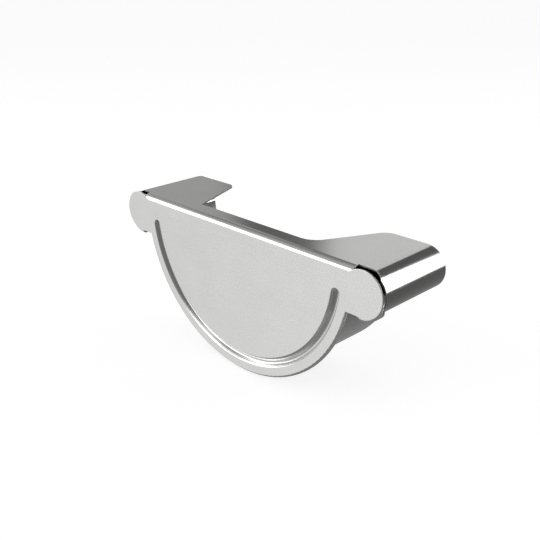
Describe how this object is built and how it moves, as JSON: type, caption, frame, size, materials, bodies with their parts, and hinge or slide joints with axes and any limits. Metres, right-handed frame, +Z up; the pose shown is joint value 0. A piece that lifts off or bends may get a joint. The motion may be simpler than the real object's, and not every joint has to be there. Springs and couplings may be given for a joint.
{
  "type": "gutter end cap",
  "caption": "Half-round gutter end cap: grooved face plate with round ears, folded top tabs, a curl for the front bead and a half-round sleeve.",
  "frame": {"origin": "centre of the half-round edge, on the front face of the plate", "axes": "+Y back along the gutter, +Z up, +X towards the gutter's front bead"},
  "size_m": [0.1659, 0.0405, 0.0723],
  "materials": {
    "steel_sheet": "satin zinc-coated sheet steel with a fine grain"
  },
  "bodies": {
    "root": {"face_plate": "steel_sheet", "sleeve": "steel_sheet"}
  },
  "joints": []
}
